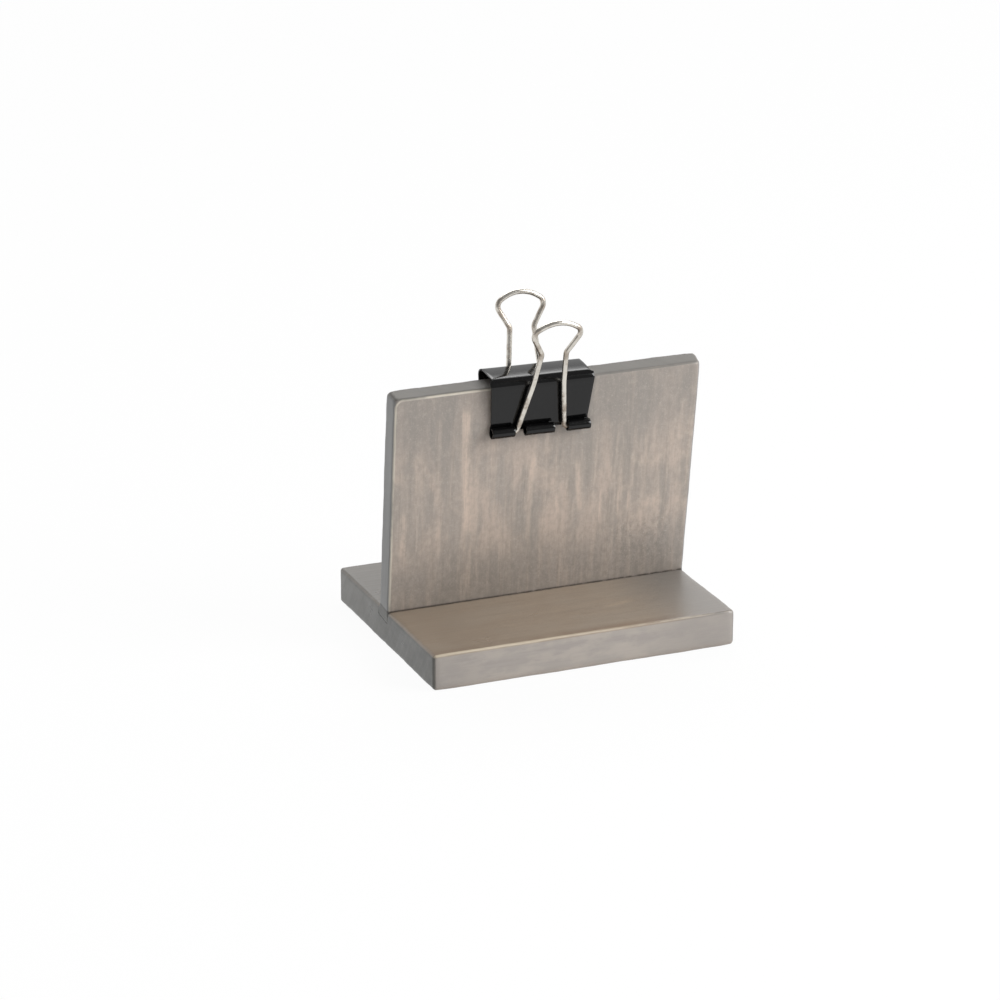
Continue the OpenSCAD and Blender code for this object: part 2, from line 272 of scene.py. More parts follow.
class Finish:
    """A finish under construction, of a material or the world. Its one adding method makes a
    node, sets its settings first, and then its sockets from values or from other sockets."""

    def __init__(self, owner):
        owner.use_nodes = True
        self.owner, self.nodes, self.links = owner, owner.node_tree.nodes, owner.node_tree.links
        self.nodes.clear()

    def add(self, kind, settings=None, sockets=None, out=0):
        node = self.nodes.new(kind)
        for key, value in (settings or {}).items():
            setattr(node, key, value)
        for key, value in (sockets or {}).items():
            if isinstance(value, Wash):
                self.links.new(value.socket, node.inputs[key])
            else:
                node.inputs[key].default_value = value
        return Wash(self, node.outputs[out]) if node.outputs else None

    def place(self, origin=(0, 0, 0), lean=0.0):
        """Object coordinates in millimetres, measured from an origin and turned by a lean."""
        spot = self.add("ShaderNodeTexCoord", out="Object")
        spot = self.add("ShaderNodeMapping", {"vector_type": "TEXTURE"}, {
            "Vector": spot, "Location": Vector(origin) * MM, "Rotation": (lean, 0, 0)})
        return self.add("ShaderNodeVectorMath", {"operation": "SCALE"}, {0: spot, "Scale": 1 / MM})

    def split(self, spot):
        """The three numbers of a vector."""
        node = self.add("ShaderNodeSeparateXYZ", sockets={0: spot}).socket.node
        return [Wash(self, socket) for socket in node.outputs]

    def noise(self, spot, by, detail=3.0, rough=0.5, warp=0.0):
        """Noise from 0 to 1 whose grains are 1 / by millimetres long along each axis."""
        spot = self.add("ShaderNodeVectorMath", {"operation": "MULTIPLY"}, {0: spot, 1: by})
        return self.add("ShaderNodeTexNoise", sockets={
            "Vector": spot, "Scale": 1.0, "Detail": detail, "Roughness": rough, "Distortion": warp})

    def step(self, value, low, high):
        """A smooth step of a value, from 0 at low to 1 at high."""
        return self.add("ShaderNodeMapRange", {"interpolation_type": "SMOOTHSTEP"}, {
            "Value": value, "From Min": low, "From Max": high})

    def mix(self, share, under, over):
        """The colour over laid on the colour under, by a share from 0 to 1."""
        return self.add("ShaderNodeMix", {"data_type": "RGBA"}, {0: share, 6: under, 7: over}, out=2)

    def bump(self, height, depth):
        """Relief of a height from 0 to 1, as deep as given in millimetres."""
        return self.add("ShaderNodeBump", sockets={"Height": height, "Distance": depth * MM})

    def surface(self, **sockets):
        """Ends a material in a Principled shader with these sockets."""
        sockets = {key.replace("_", " "): value for key, value in sockets.items()}
        shader = self.add("ShaderNodeBsdfPrincipled", sockets=sockets)
        self.add("ShaderNodeOutputMaterial", sockets={"Surface": shader})
        return self.owner


def srgb(red, green, blue):
    """A colour from its three 0 to 255 display values, as the light that it returns."""
    share = np.array([red, green, blue]) / 255
    light = np.where(share <= 0.04045, share / 12.92, ((share + 0.055) / 1.055) ** 2.4)
    return (*map(float, light), 1.0)


def dress(piece, material):
    """Gives a piece its one material."""
    piece.data.materials.clear()
    piece.data.materials.append(material)


wash_brown = srgb(154, 139, 123)
wash_brown_pale = srgb(162, 147, 130)
wash_blotch = srgb(161, 150, 137)
front_brown = srgb(136, 112, 92)
left_brown = srgb(142, 127, 111)
right_grey = srgb(124, 120, 116)
rear_grey = srgb(113, 110, 105)
wipe_mark = srgb(188, 168, 144)
side_grey = srgb(156, 149, 144)
side_grey_pale = srgb(165, 158, 151)
side_cloud = srgb(178, 169, 160)
side_shade = srgb(148, 142, 137)
side_foot = srgb(146, 131, 116)
end_dark = srgb(71, 71, 67)
end_grey = srgb(85, 84, 79)
end_rear = srgb(114, 112, 107)
plank_pore = srgb(104, 96, 88)
plank_dust = srgb(186, 178, 168)
bare_wood = srgb(196, 184, 166)
front_wear_and_highlight = srgb(214, 202, 180)
groove_dirt_and_shade = srgb(62, 54, 46)
wipe_x, wipe_y, wipe_slope = 17.7, -23.1, 0.12


def plank_finish():
    """Brown-grey wash over softwood, satin where it was wiped on thick. The grain runs along X.
    The top is browner than the sides, and the sanded arrises show pale wood, with a painted
    highlight in the pale line along the top's front arris."""
    wood = Finish(bpy.data.materials.new("plank_wash"))
    spot = wood.place((0, 0, plank_half[2]))
    x, y, z = wood.split(spot)
    _, panel_y, _ = wood.split(wood.place(panel_place, panel_lean))
    to_side = plank_half[0] - abs(x)
    to_front = plank_half[1] - abs(y)
    to_top = plank_half[2] - z
    front_y = y + plank_half[1]
    blotch = wood.noise(spot, (0.05, 0.09, 0.12), 3.0, 0.55)
    streak = wood.noise(spot, (0.03, 0.7, 0.7), 5.0, 0.62, 0.4)
    cloud = wood.noise(spot, (0.12, 0.3, 0.3), 4.0, 0.6)
    fine = wood.noise(spot, (0.12, 4.0, 4.0), 3.0, 0.6)
    speck = wood.noise(spot, (2.2, 2.2, 2.2), 3.0, 0.7)
    patch = wood.noise(spot, (0.16, 0.16, 0.3), 3.0)
    grit = wood.noise(spot, (0.5, 0.5, 0.5), 4.0, 0.6)
    on_top = wood.step(to_top, 1.1, 0.4)
    on_end = wood.step(to_side, 0.9, 0.4) * (1 - on_top)
    streaked = wood.step(streak, 0.3, 0.7)

    top = wood.mix(streaked, wash_brown, wash_brown_pale)
    top = wood.mix(wood.step(blotch, 0.42, 0.7) * 0.5, top, wash_blotch)
    front_band = wood.step(front_y, 5.0, 1.4) * wood.step(blotch, 0.3, 0.55)
    top = wood.mix(front_band * 0.5, top, front_brown)
    top = wood.mix(wood.step(x, -8.0, -40.0) * 0.5, top, left_brown)
    # Painted shade: toward the right end the top is painted darker and greyer, set against the
    # brighter reflection of the backdrop there.
    top = wood.mix(wood.step(x, 14.0, 43.0) * 0.85, top, right_grey)
    # Painted shade: the top behind the panel is painted darker and greyer.
    top = wood.mix(wood.step(panel_y, 2.0, 6.0) * 0.9, top, rear_grey)
    across_wipe = abs(y - wipe_y - wipe_slope * x)
    wiped = wood.step(across_wipe, 1.6, 0.3) * wood.step(abs(x - wipe_x), 6.5, 1.5)
    top = wood.mix(wiped * wood.step(streak, 0.3, 0.6) * 0.55, top, wipe_mark)

    side = wood.mix(streaked, side_grey, side_grey_pale)
    side = wood.mix(wood.step(cloud, 0.4, 0.62) * 0.6, side, side_cloud)
    side = wood.mix(wood.step(abs(x + 6.0), 16.0, 42.0) * 0.6, side, side_shade)
    side = wood.mix(wood.step(z, -3.4, -5.6) * 0.4, side, side_foot)
    # Painted shade: the ends are end grain and a little darker of their own, and are painted darker
    # still as shaded faces, lifting toward the rear.
    end = wood.mix(wood.step(cloud, 0.35, 0.66), end_dark, end_grey)
    end = wood.mix(wood.step(y, -10.0, 30.0) * 0.5, end, end_rear)
    colour = wood.mix(on_end, wood.mix(on_top, side, top), end)
    colour = wood.mix(wood.step(fine, 0.5, 0.75) * 0.1, colour, plank_pore)
    colour = wood.mix(wood.step(speck, 0.6, 0.75) * 0.12, colour, plank_dust)

    edge = to_top.most(to_front).least(to_top.most(to_side)).least(to_front.most(to_side))
    bare = wood.step(edge, 0.62, 0.28) * wood.step(patch, 0.34, 0.56)
    colour = wood.mix(bare * (0.6 - wood.step(to_side, 2.0, 0.5) * 0.4), colour, bare_wood)
    # A pale line along the top's front arris, stronger toward the left: pale worn wood, and a painted
    # highlight on the rounded edge.
    worn_line_and_highlight = wood.step(abs(front_y - 0.45), 0.5, 0.15) * on_top * wood.step(x, 44.0, -30.0)
    colour = wood.mix(worn_line_and_highlight * 0.7, colour, front_wear_and_highlight)
    # Along both sides of the groove the top is painted dark: wash and dirt gathered in the joint, and
    # painted shade in the gap beside the panel.
    dirt_and_gap_shade = wood.step(abs(panel_y), panel_thick / 2 + 0.9, panel_thick / 2 + 0.25) * on_top
    dirt_and_gap_shade = dirt_and_gap_shade * (wood.step(grit, 0.36, 0.56) * 0.6 + 0.4)
    colour = wood.mix(dirt_and_gap_shade * 0.8, colour, groove_dirt_and_shade)
    relief = streak * 0.4 + fine * 0.3 + speck * 0.3
    return wood.surface(
        Base_Color=colour, Roughness=wood.step(blotch, 0.2, 0.8) * 0.1 + 0.26,
        Normal=wood.bump(relief, 0.05),
    )


dress(plank, plank_finish())

# Upright panel: a second length of the same board, with its grain upright, sawn by hand so that
# its right end runs out of square, sanded, washed grey, glued in the groove and screwed from below.
panel_face_h = 69.4
panel_size = (96.0, panel_thick, panel_face_h + groove_depth)
panel_steps = (0.35, 0.5, 0.8)
panel_arris = 0.9
left_flare = 0.2
right_flare = 1.2
right_skew = 1.4
panel_corner = 3.0
panel_corner_loss = 0.8
groove_fade = 0.6
groove_keep = 0.85
stroke_fade = 5.0
stroke_core, stroke_fall = 1.4, 0.9
panel_grey = srgb(151, 143, 135)
panel_grey_pale = srgb(159, 150, 142)
panel_shade = srgb(148, 141, 134)
upper_shade = srgb(141, 135, 129)
thin_cloud = srgb(197, 178, 164)
thin_streak = srgb(199, 181, 166)
thick_streak = srgb(134, 126, 118)
rubbed_wood = srgb(208, 188, 172)
mottle_dark = srgb(136, 130, 122)
mottle_pale = srgb(184, 172, 160)
panel_pore = srgb(118, 109, 102)
panel_dust = srgb(196, 186, 176)
foot_brown = srgb(112, 102, 93)
rim_grey = srgb(136, 130, 125)
top_grey = srgb(110, 107, 102)
sawn_and_shaded_grey = srgb(122, 122, 121)
rim_wear_and_highlight = srgb(212, 204, 188)
arris_wood = srgb(176, 163, 150)
foot_dirt_and_shade = srgb(52, 46, 41)
groove_end_shade = srgb(92, 91, 87)

panel_half = np.array(panel_size) / 2
panel_points, panel_faces = board_shell(*(
    arris_stations(-half, half, step, panel_arris) for half, step in zip(panel_half, panel_steps)
))
panel_wear = waves(
    panel_points[:, 0] + panel_points[:, 2], panel_points[:, 2] - panel_points[:, 0],
    (27.0, 11.0, 4.7), (0.12, 0.07, 0.04), 3.0, 11,
)
panel_grain = waves(
    panel_points[:, 0] + 0.7 * panel_points[:, 1], panel_points[:, 2],
    (6.3, 3.1, 1.7, 1.0), (0.012, 0.008, 0.006, 0.004), 1.8, 13,
)
in_groove = np.clip((panel_half[2] - panel_face_h - panel_points[:, 2]) / groove_fade, 0, 1)
top_corners = np.clip(1 - (panel_half[0] - np.abs(panel_points[:, 0])) / corner_run, 0, 1)
top_corners *= panel_corner_loss * np.clip(1 - (panel_half[2] - panel_points[:, 2]) / corner_run, 0, 1)
panel_points = sanded_board(
    panel_points, panel_half,
    panel_arris * (1 + panel_wear + top_corners) * (1 - groove_keep * in_groove),
    (sanding_loss + panel_grain) * (1 - in_groove),
)
panel_points[:, 2] += panel_half[2] - groove_depth

# Where the wash was wiped thin with a rag: across at the top and at the bottom of each stroke,
# the heights of its two ends, its half width, and how bare it left the wood.
rag_strokes = np.array([
    (-25.4, -23.6, 66.0, 20.0, 1.6, 1.0), (-34.0, -33.8, 65.0, 48.0, 1.0, 0.55),
    (-32.6, -32.6, 31.0, 19.0, 0.7, 0.8), (-40.6, -39.3, 52.0, 15.0, 0.5, 0.6),
    (-2.6, -6.0, 49.0, 24.0, 1.1, 0.75), (2.4, 6.3, 41.0, 21.0, 0.9, 0.6),
    (10.2, 12.7, 45.0, 22.0, 1.0, 0.75), (19.0, 19.0, 35.0, 18.0, 0.5, 0.9),
    (24.6, 24.6, 35.0, 18.0, 0.5, 0.8), (28.0, 28.0, 33.0, 20.0, 0.5, 0.8),
    (36.5, 35.0, 30.0, 19.0, 3.6, 0.8), (-44.8, -44.8, 9.0, 1.5, 2.4, 0.7),
    (-44.2, -44.2, 35.0, 15.0, 1.4, 0.8), (-16.0, -16.5, 60.0, 40.0, 0.8, 0.4),
    (-9.0, -9.8, 33.0, 12.0, 0.9, 0.4), (44.0, 42.6, 62.0, 35.0, 1.2, 0.5),
    (-42.0, -42.0, 48.0, 8.0, 6.0, 0.35), (-24.0, -24.0, 48.0, 14.0, 6.0, 0.3),
    (6.0, 8.0, 46.0, 18.0, 9.0, 0.3), (30.0, 32.0, 44.0, 16.0, 10.0, 0.3),
])


def wiped_thin(x, z, strokes):
    """How bare the rag left each point, the most of all strokes: a number that falls with the
    distance from the stroke's slanting middle line over its half width, is held between 0 and 1,
    and fades out toward both ends."""
    x_top, x_foot, z_top, z_foot, width, bare = strokes.T[:, :, None]
    share = (z - z_foot) / (z_top - z_foot)
    aside = np.abs(x - x_foot - (x_top - x_foot) * share)
    near = np.clip(stroke_core - stroke_fall * aside / width, 0, 1)
    ends = np.clip((z_top - z) / stroke_fade, 0, 1) * np.clip((z - z_foot) / stroke_fade, 0, 1)
    return (bare * near * ends).max(0)


def keep_numbers(piece, name, numbers):
    """Keeps one number for each point of a piece, for its material to read."""
    kept = piece.data.attributes.new(name, "FLOAT", "POINT")
    kept.data.foreach_set("value", numbers.astype("f"))


panel_bare = wiped_thin(panel_points[:, 0], panel_points[:, 2], rag_strokes)
rise = panel_points[:, 2] / panel_face_h
share = panel_points[:, 0] / panel_half[0]
right_run = right_flare * rise + right_skew * (panel_points[:, 1] / panel_thick + 0.5)
panel_points[:, 0] += np.where(share > 0, share * right_run, share * left_flare * rise)
panel = new_piece("panel_board", in_panel(panel_points), panel_faces, "stand")
keep_numbers(panel, "bare", panel_bare)
drill(panel)
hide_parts("upright_panel")


def panel_finish():
    """Grey wash over softwood with upright grain: pinkish streaks where the rag wiped it thin, grey
    mottling toward the foot, pale worn arrises with a painted highlight along the front rim, painted
    shade on the top and ends, and a dark foot along the groove, partly dirt and partly painted shade."""
    wood = Finish(bpy.data.materials.new("panel_wash"))
    spot = wood.place(panel_place, panel_lean)
    x, y, z = wood.split(spot)
    bare = wood.add("ShaderNodeAttribute", {"attribute_name": "bare"}, out="Fac")
    to_left = x + panel_half[0] + z * (left_flare / panel_face_h)
    skewed = (y * (1 / panel_thick) + 0.5) * right_skew
    to_right = z * (right_flare / panel_face_h) + skewed + panel_half[0] - x
    to_side = to_left.least(to_right)
    to_front = y + panel_thick / 2
    to_face = panel_thick / 2 - abs(y)
    to_top = panel_face_h - z
    blotch = wood.noise(spot, (0.06, 0.1, 0.035), 3.0, 0.55)
    streak = wood.noise(spot, (0.4, 0.5, 0.03), 4.0, 0.6, 0.3)
    thin = wood.noise(spot, (0.8, 0.8, 0.05), 4.0, 0.65, 0.3)
    fine = wood.noise(spot, (4.0, 4.0, 0.25), 3.0, 0.6)
    cloud = wood.noise(spot, (0.09, 0.3, 0.04), 4.0, 0.6, 0.5)
    mottle = wood.noise(spot, (0.6, 0.6, 0.45), 5.0, 0.7)
    speck = wood.noise(spot, (2.4, 2.4, 2.0), 3.0, 0.7)
    patch = wood.noise(spot, (0.12, 0.12, 0.12), 3.0)
    grit = wood.noise(spot, (0.5, 0.5, 0.5), 4.0, 0.6)

    low = wood.step(z, 26.0, 4.0)
    rubbed_height = wood.step(z, 58.0, 40.0) * 0.7 + 0.3
    colour = wood.mix(wood.step(blotch, 0.35, 0.65), panel_grey, panel_grey_pale)
    colour = wood.mix(wood.step(abs(x + 4.0), 22.0, 46.0) * 0.4, colour, panel_shade)
    colour = wood.mix(wood.step(z, 38.0, 60.0) * 0.8, colour, upper_shade)
    clouded = wood.step(cloud, 0.42, 0.64) * rubbed_height * wood.step(z, 8.0, 22.0)
    colour = wood.mix(clouded * 0.62, colour, thin_cloud)
    thinned = wood.step(streak, 0.42, 0.7) * wood.step(thin, 0.3, 0.65) * rubbed_height
    colour = wood.mix(thinned * 0.64, colour, thin_streak)
    colour = wood.mix(wood.step(thin, 0.48, 0.8) * rubbed_height * 0.4, colour, thick_streak)
    rubbed = bare * (wood.step(thin, 0.75, 0.25) * 0.7 + 0.3)
    colour = wood.mix(wood.step(rubbed, 0.02, 0.95) * 0.8, colour, rubbed_wood)
    grey_patch = wood.step(abs(x - 33.0), 12.0, 5.0) * wood.step(abs(z - 13.0), 9.0, 4.0)
    mottled = wood.step(mottle, 0.4, 0.68) * (low * 0.25 + grey_patch * 0.3 + 0.3)
    colour = wood.mix(mottled, colour, mottle_dark)
    colour = wood.mix(wood.step(mottle, 0.5, 0.3) * 0.25, colour, mottle_pale)
    colour = wood.mix(wood.step(fine, 0.5, 0.72) * 0.12, colour, panel_pore)
    dusty = wood.step(speck, 0.54, 0.7) * (grey_patch * 0.25 + 0.26)
    colour = wood.mix(dusty, colour, panel_dust)
    colour = wood.mix(low * 0.2, colour, foot_brown)

    corner_x = (panel_corner - to_left).most(0.0)
    corner_z = (panel_corner - to_top).most(0.0)
    to_rim = panel_corner - (corner_x * corner_x + corner_z * corner_z).root()
    on_rim = wood.step(to_rim, 0.75, 0.3)
    colour = wood.mix(on_rim * wood.step(to_right, 0.5, 3.0), colour, rim_grey)
    # Painted shade: the top, which is end grain, is painted darker grey, and the sawn ends are painted
    # darker grey too, partly their own tone and partly painted shade.
    on_top = wood.step(to_top, 0.8, 0.35)
    colour = wood.mix(on_top, colour, top_grey)
    on_end = wood.step(to_side, 0.8, 0.35) * (1 - on_top)
    colour = wood.mix(on_end, colour, sawn_and_shaded_grey)
    patchy = wood.step(patch, 0.36, 0.56)
    # A pale line along the front arris at the top and the left end, stronger toward the left: pale
    # worn wood, and a painted highlight on the rounded edge.
    line = wood.step(abs(to_rim - 0.6), 0.42, 0.1) * wood.step(to_front, 0.8, 0.3)
    line = line * (patchy * 0.6 + 0.4) * wood.step(x, 10.0, -30.0)
    colour = wood.mix(line * 0.8, colour, rim_wear_and_highlight)
    edge = to_top.most(to_face).least(to_top.most(to_side)).least(to_face.most(to_side))
    colour = wood.mix(wood.step(edge, 0.5, 0.2) * patchy * 0.4, colour, arris_wood)

    # Along the foot the panel is painted dark: wash and dirt gathered in the joint, and painted shade
    # in the gap at the groove.
    broken = grit + wood.step(x, 20.0, -30.0) * 0.14
    dirt_and_gap_shade = wood.step(z, 1.0, 0.2) * (wood.step(broken, 0.38, 0.52) * 0.75 + 0.25)
    colour = wood.mix(dirt_and_gap_shade * 0.85, colour, foot_dirt_and_shade)
    # Painted shade: the ends are painted darker below the base's top, down in the groove.
    below = wood.step(z, 0.3, -0.1) * (1 - wood.step(to_side, 0.8, 1.2))
    colour = wood.mix(below, colour, groove_end_shade)
    relief = streak * 0.3 + thin * 0.3 + fine * 0.2 + speck * 0.2
    return wood.surface(
        Base_Color=colour, Roughness=wood.step(blotch, 0.2, 0.8) * 0.12 + on_top * 0.2 + 0.34,
        Normal=wood.bump(relief, 0.07),
    )


dress(panel, panel_finish())

# Panel screws: two zinc-plated countersunk wood screws with cross recesses, cold-headed and
# thread-rolled, driven up from the base's underside through the base into the panel's foot.
thread_root_r = 1.05
thread_pitch = 1.3
thread_start = 4.2
drive_half_w = 0.35
drive_half_span = 1.6
drive_depth = 1.1
drive_taper = 0.28
drive_start = 0.5
head_edge = 0.08
head_bevel = 0.1
thread_step = 0.13
ridge_power = 3
neck_rows = 6
screw_sides = 48
zinc_dull = srgb(172, 170, 164)
zinc_bright = srgb(206, 202, 188)
zinc_scuff = srgb(128, 126, 121)


def wood_screw():
    """A screw on the Z axis: rings from the head's face to the blunt tip, whose radius follows
    the countersunk head, the plain neck and the point, less the groove of the thread, a cosine
    ridge raised to a power that climbs one pitch in each turn."""
    head = [screw_sink, screw_sink + head_edge, 2 * screw_sink]
    head_end = 2 * screw_sink + screw_head_r - screw_shank_r
    heights = np.concatenate([
        head, np.linspace(head_end, thread_start, neck_rows),
        np.arange(thread_start + thread_step, screw_tip_z, thread_step), [screw_tip_z],
    ])
    corners = [*head, head_end, screw_tip_z - 2 * screw_shank_r, screw_tip_z]
    head_radii = [screw_head_r - head_bevel, screw_head_r, screw_head_r]
    radii = [*head_radii, screw_shank_r, screw_shank_r, screw_tip_r]
    outer = np.interp(heights, corners, radii)[:, None]
    turn = np.arange(screw_sides) * 2 * math.pi / screw_sides
    ridge = (0.5 + 0.5 * np.cos(2 * math.pi * heights[:, None] / thread_pitch - turn)) ** ridge_power
    cut_in = np.clip((heights[:, None] - thread_start) / thread_pitch, 0, 1)
    radius = outer * (1 - cut_in * (1 - thread_root_r / screw_shank_r) * (1 - ridge))
    rings = np.stack([radius * np.cos(turn), radius * np.sin(turn), heights[:, None] + 0 * radius], -1)
    return closed_tube(rings, (0, 0, screw_sink), (0, 0, screw_tip_z))


def recess_arm(across):
    """One arm of the cross recess: a block whose sides draw in toward its deep end, and which
    starts a little outside the head."""
    points, faces = board_shell(*(np.array([-1.0, 1.0]) for _ in range(3)))
    drawn_in = 1 - drive_taper * (points[:, 2:] + 1) / 2
    size = (drive_half_span, drive_half_w) if across else (drive_half_w, drive_half_span)
    points[:, :2] *= drawn_in * size
    outside = drive_start * (points[:, 2] < 0)
    points[:, 2] = screw_sink + (points[:, 2] + 1) * drive_depth / 2 - outside
    return points, faces


def zinc_finish():
    """Zinc plate with a faint yellow passivation, scuffed dull in patches."""
    zinc = Finish(bpy.data.materials.new("zinc_plate"))
    spot = zinc.place()
    tint = zinc.noise(spot, (0.9, 0.9, 0.9), 4.0, 0.6)
    scuff = zinc.noise(spot, (5.0, 5.0, 5.0), 3.0, 0.6)
    colour = zinc.mix(tint, zinc_dull, zinc_bright)
    colour = zinc.mix(zinc.step(scuff, 0.55, 0.7) * 0.5, colour, zinc_scuff)
    return zinc.surface(
        Base_Color=colour, Metallic=1.0, Roughness=tint * 0.2 + 0.24, Normal=zinc.bump(scuff, 0.02)
    )


zinc_plate = zinc_finish()
screw_points, screw_faces = wood_screw()
for name, place in zip(("wood_screw_left", "wood_screw_right"), screw_places):
    screw = new_piece(name, screw_points + place, screw_faces, "stand")
    for across in (True, False):
        arm_points, arm_faces = recess_arm(across)
        cut_away(screw, new_piece("recess_tool", arm_points + place, arm_faces, "stand"))
    dress(screw, zinc_plate)
    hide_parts("panel_screws")

# Clip body: one strip of spring steel sheet, stamped to its outline and notched, bent over square
# and rolled outwards at both lips, then dipped in black enamel that pulls thin at the cut edges.
clip_w = 32.8
rear_short = 0.6
spine_inset = 0.9
sheet_skew = 0.5
clip_x = -2.1
clip_tilt = math.radians(1.2)
clip_side = 16.9
spine_d = 12.2
sheet_t = 0.45
spine_bend = 0.9
softer_bend = 1.1
spine_gap = 2.0
curl_bore = 1.15
curl_sweep = math.radians(295)
grip_gap = 0.05
side_waist = 1.1
roll_proud = 0.3
tongue_half = 4.5
tongue_x = -0.4
roll_start = 8.5
notch_rise = 0.2
sheet_edge = 0.1
sheet_edge_angle = math.radians(50)
roll_rows = 30
lip_margin = 0.5
crown_rise = 0.22
enamel_black = srgb(5, 5, 6)
enamel_soft = srgb(12, 12, 12)
enamel_dust = srgb(58, 58, 58)

curl_r = curl_bore + sheet_t
curl_y = panel_thick / 2 + grip_gap + curl_r
spine_top = panel_face_h + spine_gap + sheet_t
corner_y = spine_d / 2 - sheet_t - spine_bend
corner_z = clip_side - sheet_t - spine_bend
side_reach = math.hypot(corner_y - curl_y, corner_z)
side_angle = math.atan2(corner_y - curl_y, corner_z) + math.asin((curl_r + spine_bend) / side_reach)
side_len = math.sqrt(side_reach ** 2 - (curl_r + spine_bend) ** 2)
waist_half = clip_w / 2 - side_waist
lip_half = waist_half + roll_proud
spine_half = clip_w / 2 - spine_inset


def in_clip(points):
    """Moves points of the clip's own frame, whose lips lie along X at height 0, to the panel's
    edge: down by the clip's height, tilted about Y, and set on the panel."""
    x, y, z = np.asarray(points, float).T
    z = z - clip_side
    c, s = math.cos(clip_tilt), math.sin(clip_tilt)
    return in_panel(np.stack([clip_x + c * x + s * z, y, spine_top - s * x + c * z], -1))


def half_strip(side):
    """The middle of the sheet from one lip's free end to the middle of the spine, as rows of
    place across, height, half width, sideways shift and notched or not: an arc round the lip's
    axis, the tangent that crosses to the spine's bend, that bend, and the flat spine."""
    roll_r = curl_bore + sheet_t / 2
    bend_r = spine_bend + softer_bend + sheet_t / 2
    given_up = softer_bend * math.tan((math.pi / 2 + side_angle) / 2)
    bend_y = corner_y - given_up
    spine_z = clip_side - sheet_t / 2
    roll_end = math.pi - side_angle
    notch_turn = math.pi - math.asin(notch_rise / roll_r)
    roll = np.append(np.linspace(roll_end + curl_sweep, notch_turn, roll_rows), roll_end)
    flat_way = np.append([0.6, 0.9, 1.35, 1.55], np.linspace(2.4, side_len - given_up, 26)[:-1])
    bend_start = np.linspace(-math.degrees(side_angle), 51, 9)
    bend = np.radians(np.append(bend_start, np.arange(55, 91, 7)))
    start = np.array([curl_y - roll_r * math.cos(side_angle), roll_r * math.sin(side_angle)])
    lines = [
        np.stack([curl_y + roll_r * np.cos(roll), roll_r * np.sin(roll)], -1),
        start + flat_way[:, None] * (math.sin(side_angle), math.cos(side_angle)),
        np.stack([bend_y + bend_r * np.cos(bend), spine_z - bend_r * (1 - np.sin(bend))], -1),
        np.stack([np.linspace(bend_y, 0, 7)[1:], np.full(6, spine_z)], -1),
    ]
    y, z = np.concatenate(lines).T
    top_half = clip_w / 2 - (rear_short if side > 0 else 0)
    half = np.interp(z, [curl_r, curl_r + 0.2, corner_z], [lip_half, waist_half, top_half])
    half = np.where(z > clip_side - sheet_t, spine_half, half)
    shift = -sheet_skew * np.clip(z / corner_z, 0, 1)
    notched = np.arange(len(y)) < roll_rows - 1
    return np.stack([side * y, z, half, shift, notched], -1)


def clip_sheet():
    """The sheet's middle surface: one half strip and the other's mirror image joined over the
    spine, carried across the clip's width between the outline's two sides, less the notches. The
    spine is crowned by a parabola, and slow waves a few hundredths of a millimetre deep give the
    flats the waviness of pressed sheet."""
    rows = np.concatenate([half_strip(-1), half_strip(1)[-2::-1]])
    y, z, half, shift, notched = rows.T[:, :, None]
    tongue_left, tongue_right = tongue_x - tongue_half, tongue_x + tongue_half
    reach = roll_start + lip_margin
    inner = np.concatenate([
        [-reach], np.linspace(-roll_start, tongue_left, 7),
        np.linspace(tongue_left, tongue_right, 13)[1:],
        np.linspace(tongue_right, roll_start, 8)[1:], [reach],
    ])
    out = np.linspace(0, 1, 9)[1:]
    left = -reach - (half - shift - reach) * out[::-1]
    right = reach + (half + shift - reach) * out
    x = np.concatenate([left, inner + 0 * half, right], 1)
    flat = np.clip((z - curl_r) / 2, 0, 1) * np.clip((corner_z - z) / 2, 0, 1)
    lift = 0.03 * np.sin(x / 3.1 + z / 2.3 + 0.6) + 0.025 * np.sin(x / 5.3 - z / 3.7)
    spine = np.clip((z - corner_z) / spine_bend, 0, 1)
    crown = crown_rise * np.clip(1 - (y / corner_y) ** 2, 0, 1)
    points = np.stack([
        x, y + 0 * x + np.sign(y) * flat * lift, z + spine * (crown + 0.02 * np.sin(x / 4.1)),
    ], -1)
    ids = np.arange(points[..., 0].size).reshape(points.shape[:2])
    quads = np.stack([ids[:-1, :-1], ids[:-1, 1:], ids[1:, 1:], ids[1:, :-1]], -1)
    middle = (x[:1, :-1] + x[:1, 1:]) / 2
    gap = (np.abs(middle - tongue_x) > tongue_half) & (np.abs(middle) < roll_start)
    row_notched = (notched[:-1] + notched[1:]) > 1
    faces = quads[~(gap & row_notched)]
    used, faces = np.unique(faces, return_inverse=True)
    return points.reshape(-1, 3)[used], faces.reshape(-1, 4)


clip_points, clip_faces = clip_sheet()
clip = new_piece("clip_strip", in_clip(clip_points), clip_faces, "clip")
sheet = clip.modifiers.new("sheet", "SOLIDIFY")
sheet.thickness, sheet.offset = sheet_t * MM, 0.0
cut_edges = clip.modifiers.new("cut_edges", "BEVEL")
cut_edges.width, cut_edges.segments = sheet_edge * MM, 2
cut_edges.limit_method, cut_edges.angle_limit = "ANGLE", sheet_edge_angle
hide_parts("clip_body")


